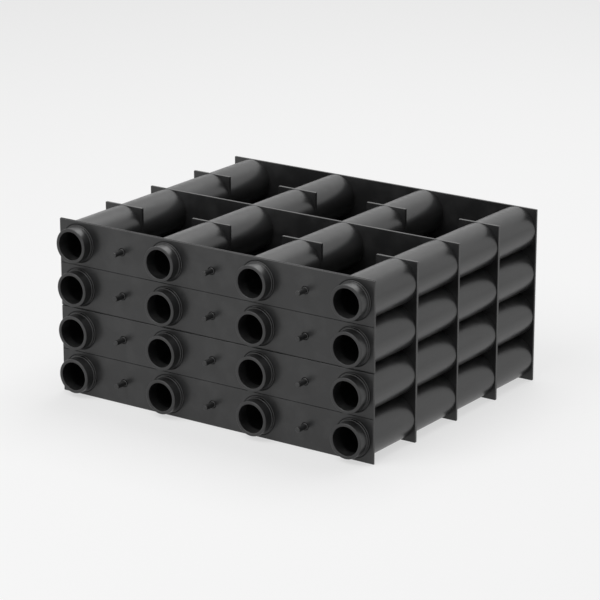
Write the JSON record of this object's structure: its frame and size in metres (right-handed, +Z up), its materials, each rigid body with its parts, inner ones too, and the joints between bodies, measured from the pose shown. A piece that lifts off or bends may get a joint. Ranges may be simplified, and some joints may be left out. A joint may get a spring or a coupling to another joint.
{
  "type": "soakaway crate",
  "caption": "Soakaway crate of two stacked plastic mouldings: banks of level tubes between two flanges, with sockets in front and spigots behind.",
  "frame": {"origin": "middle of the underside of the crate's overall box", "axes": "+X across the columns of tubes, +Y along the tubes from the sockets in front to the spigots behind, +Z up"},
  "size_m": [0.5, 0.432, 0.242],
  "materials": {
    "crate_plastic": "satin"
  },
  "bodies": {
    "root": {"lower_half": "crate_plastic", "upper_half": "crate_plastic"}
  },
  "joints": []
}
